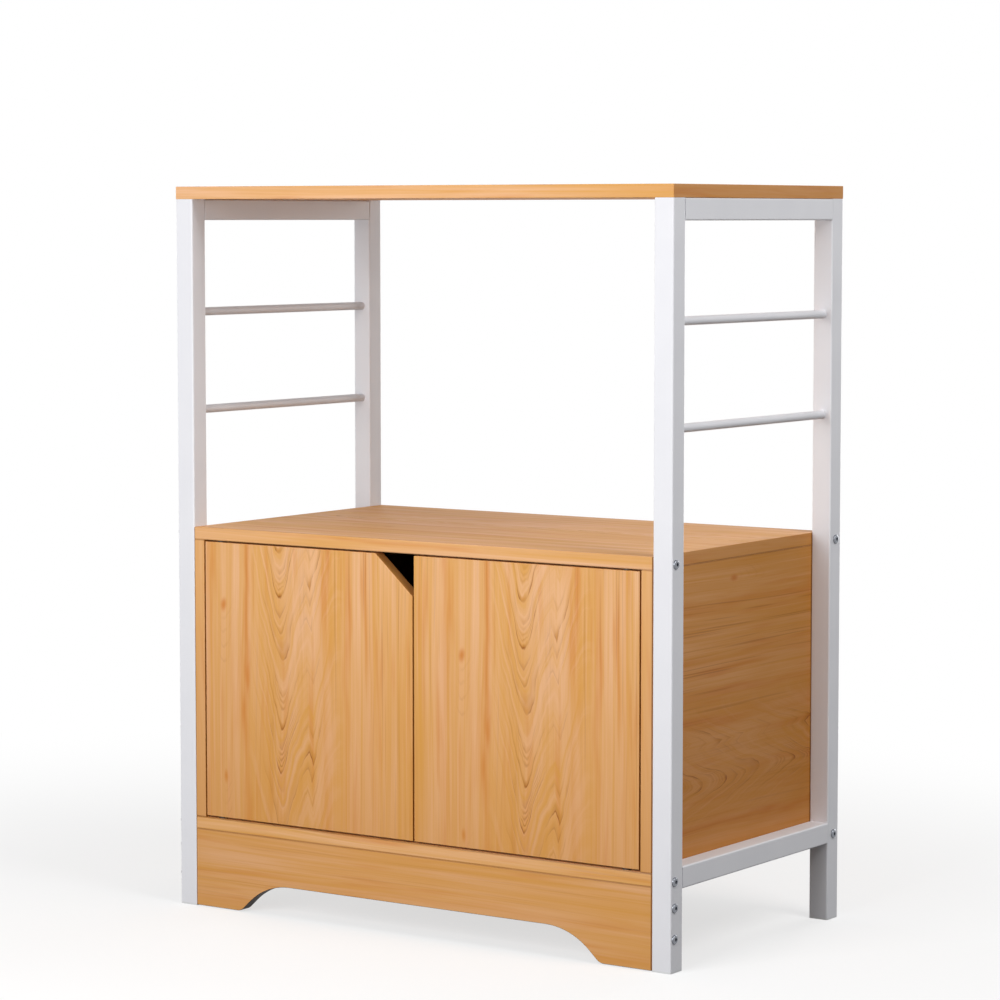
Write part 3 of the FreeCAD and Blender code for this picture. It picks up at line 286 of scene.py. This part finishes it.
    # long orange streaks, stronger here and there, and the small knots
    glow = 0.0
    for bandAt, width, strength in foil["bands"]:
        aside = addNode(tree, "Math", [off, bandAt], operation="SUBTRACT")
        aside = addNode(tree, "Math", [aside], operation="ABSOLUTE")
        band = addNode(tree, "MapRange", {"Value": aside, "From Min": width, "From Max": 0.0,
                                          "To Max": strength}, interpolation_type="SMOOTHSTEP")
        glow = addNode(tree, "Math", [glow, band], operation="MAXIMUM")
    low, high, least = foil["uneven"]
    uneven = addNode(tree, "MapRange", {"Value": streak["warm"], "From Min": low, "From Max": high,
                                        "To Min": least})
    glow = addNode(tree, "Math", [glow, uneven], operation="MULTIPLY")
    glow = addNode(tree, "Math", [glow, onFace], operation="MULTIPLY")
    turn = addNode(tree, "Math", [swayed, period, 0.0], operation="WRAP")
    low, high = foil["knotEdge"]
    for knotAcross, knotAlong, knotWidth, knotLength in foil["knots"]:
        knot = addNode(tree, "CombineXYZ", [turn, off])
        knot = addNode(tree, "VectorMath", [knot, (knotAlong, knotAcross, 0)], operation="SUBTRACT")
        knot = addNode(tree, "VectorMath", [knot, (knotLength, knotWidth, 1)], operation="DIVIDE")
        knot = addNode(tree, "VectorMath", [knot], out="Value", operation="LENGTH")
        knot = addNode(tree, "MapRange", {"Value": knot, "From Min": low, "From Max": high},
                       interpolation_type="SMOOTHSTEP")
        knot = addNode(tree, "Math", [knot, shown], operation="MULTIPLY")
        glow = addNode(tree, "Math", [glow, knot], operation="MAXIMUM")

    # about the heart the straight streaks calm down, and soft bands follow the rings
    calmAt, calmFrom, calmTo, calmest = foil["calm"]
    aside = addNode(tree, "Math", [off, calmAt], operation="SUBTRACT")
    aside = addNode(tree, "Math", [aside], operation="ABSOLUTE")
    lively = addNode(tree, "MapRange", {"Value": aside, "From Min": calmFrom, "From Max": calmTo,
                                        "To Min": calmest})
    for name in foil["calmed"]:  # noise keeps to about 0.5, so it is weakened about that
        streak[name] = addNode(tree, "Math", [streak[name], 0.5], operation="SUBTRACT")
        streak[name] = addNode(tree, "Math", [streak[name], lively, 0.5], operation="MULTIPLY_ADD")
    quiet = addNode(tree, "Math", [1.0, lively], operation="SUBTRACT")
    quiet = addNode(tree, "Math", [quiet, onFace], operation="MULTIPLY")
    soft = {}
    for name in ("gilt", "milky"):
        low, high = foil[name]
        soft[name] = addNode(tree, "MapRange", {"Value": flank, "From Min": low, "From Max": high})
        soft[name] = addNode(tree, "Math", [soft[name], quiet], operation="MULTIPLY")

    # thin lines that run the whole length, bunched together in places
    low, high = foil["lines"]
    lines = addNode(tree, "MapRange", {"Value": streak["line"], "From Min": low, "From Max": high})
    low, high = foil["bunches"]
    bunched = addNode(tree, "MapRange", {"Value": streak["cluster"], "From Min": low, "From Max": high})
    lines = addNode(tree, "Math", [lines, bunched], operation="MULTIPLY")
    lines = addNode(tree, "Math", [lines, lively], operation="MULTIPLY")

    # the inks, one over the other
    # painted shade: upright faces darken towards the floor, as strong as each board's own share
    upper, lower = foil["shadeHeights"]
    lowness = addNode(tree, "MapRange", {"Value": at["Z"], "From Min": upper, "From Max": lower})
    steers = {**streak, **soft, "lines": lines, "glow": glow, "lowness": lowness,
              "ringLine": ringLine, "ringRim": ringRim, "ringWarm": ringWarm}
    tone = ink["body"]
    for steer, low, high, strength, use in foil["washes"]:
        amount = addNode(tree, "MapRange", {"Value": steers[steer], "From Min": low, "From Max": high,
                                            "To Max": cut.get(strength, strength)})
        tone = addNode(tree, "Mix", {0: amount, 6: tone, 7: ink[use]}, out=2, data_type="RGBA")
    # painted shade: faces that look sideways are multiplied darker
    tone = addNode(tree, "Mix", {0: looks["X"], 6: tone, 7: fromHex(foil["sideShade"])}, out=2,
                   data_type="RGBA", blend_type="MULTIPLY")
    # painted shade along the joints: dark hairlines where the board meets a leg or another board
    for axis, where, face, strength in jointShadows.get(board, ()):
        gap = addNode(tree, "Math", [at[axis]], operation="ABSOLUTE")
        gap = addNode(tree, "Math", [gap, where], operation="SUBTRACT")
        gap = addNode(tree, "Math", [gap], operation="ABSOLUTE")
        line = addNode(tree, "MapRange", {"Value": gap, "From Min": jointShadowLook["from"] * mm,
                                          "From Max": jointShadowLook["full"] * mm, "To Max": strength})
        line = addNode(tree, "Math", [line, looks[face]], operation="MULTIPLY")
        jointShadowInk = fromHex(jointShadowLook["ink"])
        tone = addNode(tree, "Mix", {0: line, 6: tone, 7: jointShadowInk}, out=2, data_type="RGBA")
    # painted shade: faces of the apron that look downwards turn near-black
    if board in downFaceShade["boards"]:
        cutFace = addNode(tree, "MapRange", {"Value": facing["Z"], "From Min": downFaceShade["from"],
                                             "From Max": downFaceShade["full"]})
        shadeTone = fromHex(downFaceShade["shadeTone"])
        tone = addNode(tree, "Mix", {0: cutFace, 6: tone, 7: shadeTone}, out=2, data_type="RGBA")

    relief = addNode(tree, "Bump", {"Height": streak["fibre"], "Strength": foil["bump"],
                                    "Distance": foil["emboss"] * mm})
    smooth, rough = foil["roughness"]
    low, high = foil["glossNoise"]
    gloss = addNode(tree, "MapRange", {"Value": streak["fibre"], "From Min": low, "From Max": high,
                                       "To Min": smooth, "To Max": rough})
    shader = addNode(tree, "BsdfPrincipled", {"Base Color": tone, "Roughness": gloss, "Normal": relief,
                                              "IOR": foil["ior"], "Specular IOR Level": foil["specular"]})
    addNode(tree, "OutputMaterial", [shader], out=None)
    return material


for board, cut in boards.items():
    nodes[board].data.materials[0] = makeBoardFoil(board, cut)
print("boards: beech-look foil on", len(boards))


# One recipe for the plainer finishes: two close tones in soft patches, a grit that gives the relief, and
# the gloss; patch, grit and relief are in mm, and the metals keep the default IOR
finishes = {
    # white powder coat on steel tube: baked plastic powder, an even white with faint orange peel
    "white_frame": {"name": "whitePowderCoat", "tones": ("#EAEAEE", "#E4E4E9"), "patch": 60, "grit": 1.6,
                    "relief": 0.02, "roughness": (0.5, 0.58), "metallic": 0.0, "ior": 1.5},
    # moulded polyethylene: waxy white, dull
    "white_plastic": {"name": "mouldedPolyethylene", "tones": ("#E4E5E6", "#DADBDC"), "patch": 12,
                      "grit": 0.8, "relief": 0.02, "roughness": (0.5, 0.6), "metallic": 0.0, "ior": 1.51},
    # bright zinc plate on turned steel: blue-grey, slightly cloudy shine; its grain is finer than drawn
    "zinc_steel": {"name": "brightZincPlate", "tones": ("#8C8F95", "#75787F"), "patch": 4, "grit": 0.6,
                   "relief": 0.01, "roughness": (0.22, 0.36), "metallic": 1.0},
    # die-cast zinc alloy: greyer and grainier than plate
    "cast_zinc": {"name": "dieCastZinc", "tones": ("#A9ABAE", "#96989B"), "patch": 5, "grit": 0.5,
                  "relief": 0.02, "roughness": (0.4, 0.55), "metallic": 1.0},
    # hardboard: hot-pressed wood fibre, brown with a felt-like fleck
    "hardboard": {"name": "pressedHardboard", "tones": ("#A97A4C", "#8E6238"), "patch": 9, "grit": 1.2,
                  "relief": 0.05, "roughness": (0.6, 0.75), "metallic": 0.0, "ior": 1.5},
    # raw beech dowel: pale pink-tan with short flecks
    "beech": {"name": "rawBeech", "tones": ("#D9B48A", "#C69C6F"), "patch": 3, "grit": 0.7,
              "relief": 0.04, "roughness": (0.6, 0.7), "metallic": 0.0, "ior": 1.5},
    # moulded nylon: dark brown, dull, with a tool texture that is finer than drawn
    "brown_nylon": {"name": "mouldedBrownNylon", "tones": ("#4A3626", "#3E2C1E"), "patch": 6, "grit": 0.5,
                    "relief": 0.02, "roughness": (0.5, 0.6), "metallic": 0.0, "ior": 1.53},
}
finishNoise = {"patchDetail": 3.0, "gritDetail": 2.0, "gloss": (0.3, 0.7), "bump": 0.3}


def makeFinish(spec):
    noise = finishNoise
    material, tree = newMaterial(spec["name"])
    place = addNode(tree, "TexCoord", out="Object")
    patch = addNode(tree, "TexNoise", {"Vector": place, "Scale": 1 / (spec["patch"] * mm),
                                       "Detail": noise["patchDetail"]})
    grit = addNode(tree, "TexNoise", {"Vector": place, "Scale": 1 / (spec["grit"] * mm),
                                      "Detail": noise["gritDetail"]})
    light, dark = (fromHex(tone) for tone in spec["tones"])
    tone = addNode(tree, "Mix", {0: patch, 6: light, 7: dark}, out=2, data_type="RGBA")
    low, high = noise["gloss"]
    smooth, rough = spec["roughness"]
    gloss = addNode(tree, "MapRange", {"Value": patch, "From Min": low, "From Max": high,
                                       "To Min": smooth, "To Max": rough})
    relief = addNode(tree, "Bump", {"Height": grit, "Strength": noise["bump"],
                                    "Distance": spec["relief"] * mm})
    sockets = {"Base Color": tone, "Roughness": gloss, "Normal": relief, "Metallic": spec["metallic"]}
    if "ior" in spec:
        sockets["IOR"] = spec["ior"]
    shader = addNode(tree, "BsdfPrincipled", sockets)
    addNode(tree, "OutputMaterial", [shader], out=None)
    return material


made = {slot: makeFinish(spec) for slot, spec in finishes.items()}
for node, slot in slotOf.items():
    if slot in made:
        nodes[node].data.materials[0] = made[slot]
print("finishes:", ", ".join(sorted(made)))


# Floor and light: sizes in metres; near the object the floor keeps its shadow, and from fadeFrom to fadeTo
# it runs into the white background; glow is its white share at the object
studio = {
    "floorSize": 9.0, "floorTone": "#F6F6F6", "bounceTone": "#5A5A5A", "glow": 0.64,
    "fadeFrom": 0.5, "fadeTo": 1.6, "white": (1, 1, 1, 1), "sky": 0.27, "aim": (0.0, 0.0, 0.5),
    # softboxes: place, side length and power in watts
    "lamps": {"keySoftbox": ((0.0, -1.9, 0.92), 1.2, 29.6), "sideSoftbox": ((2.25, -0.4, 2.45), 1.3, 38.0),
              "backSoftbox": ((0.2, 2.5, 0.75), 1.2, 30.0), "leftSoftbox": ((-2.3, 0.35, 0.6), 1.2, 13.0)},
}


def addSeenRay(tree):  # 1 for what the camera, metal or glass sees, 0 for light that only falls on things
    ray = addNode(tree, "LightPath", out=None)
    seen = addNode(tree, "Math", [ray["Is Camera Ray"], ray["Is Glossy Ray"]], operation="MAXIMUM")
    return addNode(tree, "Math", [seen, ray["Is Transmission Ray"]], operation="MAXIMUM")


def makeFloor():
    half = studio["floorSize"] / 2
    corners = [(-half, -half, 0), (half, -half, 0), (half, half, 0), (-half, half, 0)]
    mesh = bpy.data.meshes.new("studioFloor")
    mesh.from_pydata(corners, [], [(0, 1, 2, 3)])
    floor = bpy.data.objects.new("studioFloor", mesh)
    scene.collection.objects.link(floor)
    material, tree = newMaterial("paleStudioFloor")
    seen = addSeenRay(tree)
    matt = addNode(tree, "BsdfDiffuse", {"Color": fromHex(studio["floorTone"])})
    white = addNode(tree, "Emission", {"Color": studio["white"], "Strength": 1.0})
    dull = addNode(tree, "BsdfDiffuse", {"Color": fromHex(studio["bounceTone"])})
    place = addNode(tree, "TexCoord", out="Object")
    away = addNode(tree, "VectorMath", [place], out="Value", operation="LENGTH")
    fade = addNode(tree, "MapRange", {"Value": away, "From Min": studio["fadeFrom"],
                                      "From Max": studio["fadeTo"], "To Min": studio["glow"]},
                   interpolation_type="SMOOTHSTEP")
    pale = addNode(tree, "MixShader", [fade, matt, white])
    shown = addNode(tree, "MixShader", [seen, dull, pale])
    addNode(tree, "OutputMaterial", [shown], out=None)
    mesh.materials.append(material)


def makeSky():
    world = bpy.data.worlds.new("studioSky")
    scene.world = world
    world.use_nodes = True
    tree = world.node_tree
    tree.nodes.clear()
    seen = addSeenRay(tree)
    soft = addNode(tree, "Background", {"Color": studio["white"], "Strength": studio["sky"]})
    white = addNode(tree, "Background", {"Color": studio["white"], "Strength": 1.0})
    mixed = addNode(tree, "MixShader", [seen, soft, white])
    addNode(tree, "OutputWorld", [mixed], out=None)


def addSoftbox(name, place, size, power):
    data = bpy.data.lights.new(name, "AREA")
    data.shape = "SQUARE"
    data.size = size
    data.energy = power
    lamp = bpy.data.objects.new(name, data)
    scene.collection.objects.link(lamp)
    lamp.location = place
    lamp.rotation_euler = (Vector(studio["aim"]) - Vector(place)).to_track_quat("-Z", "Y").to_euler()


makeFloor()
makeSky()
for name, (place, size, power) in studio["lamps"].items():
    addSoftbox(name, place, size, power)
print("studio: floor, sky and", len(studio["lamps"]), "softboxes")


# Camera at the photograph's angle: a long lens, three quarters from the right, at top-board height; place
# in metres, turn and dip in degrees, lens and sensor in mm
shot = {"place": (2.2981, -3.3622, 0.8349), "turn": 34.455, "dip": 4.75, "lens": 123.04, "sensor": 36.0}


def addCamera():
    data = bpy.data.cameras.new("photoCamera")
    data.lens = shot["lens"]
    data.sensor_width = shot["sensor"]
    camera = bpy.data.objects.new("photoCamera", data)
    scene.collection.objects.link(camera)
    camera.location = shot["place"]
    camera.rotation_euler = (math.radians(90 - shot["dip"]), 0, math.radians(shot["turn"]))
    scene.camera = camera


addCamera()
